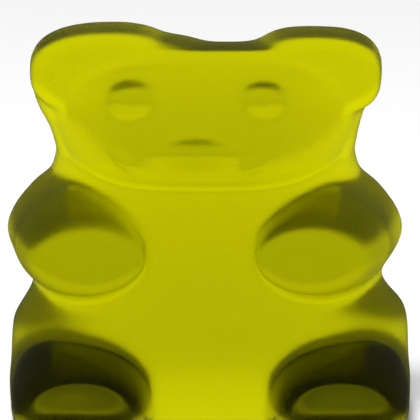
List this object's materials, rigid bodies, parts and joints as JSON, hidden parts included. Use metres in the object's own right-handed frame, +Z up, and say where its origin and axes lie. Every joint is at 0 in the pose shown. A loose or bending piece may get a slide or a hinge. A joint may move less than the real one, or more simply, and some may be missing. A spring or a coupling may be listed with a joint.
{
  "type": "gummy bear",
  "caption": "Chewy clear yellow-green jelly sweet cast as a sitting bear with round ears, a small muzzle, stub arms and legs, and a flat back.",
  "frame": {"origin": "middle of the bounding box at the level the bear rests on", "axes": "+Z up from the feet to the ears, -Y out of the face and the soles, +X to the bear's left arm, on the right when it is seen from the front"},
  "size_m": [0.0205, 0.0112, 0.0196],
  "materials": {
    "jelly": "clear glossy jelly"
  },
  "bodies": {
    "root": {"gummy_bear": "jelly"}
  },
  "joints": []
}
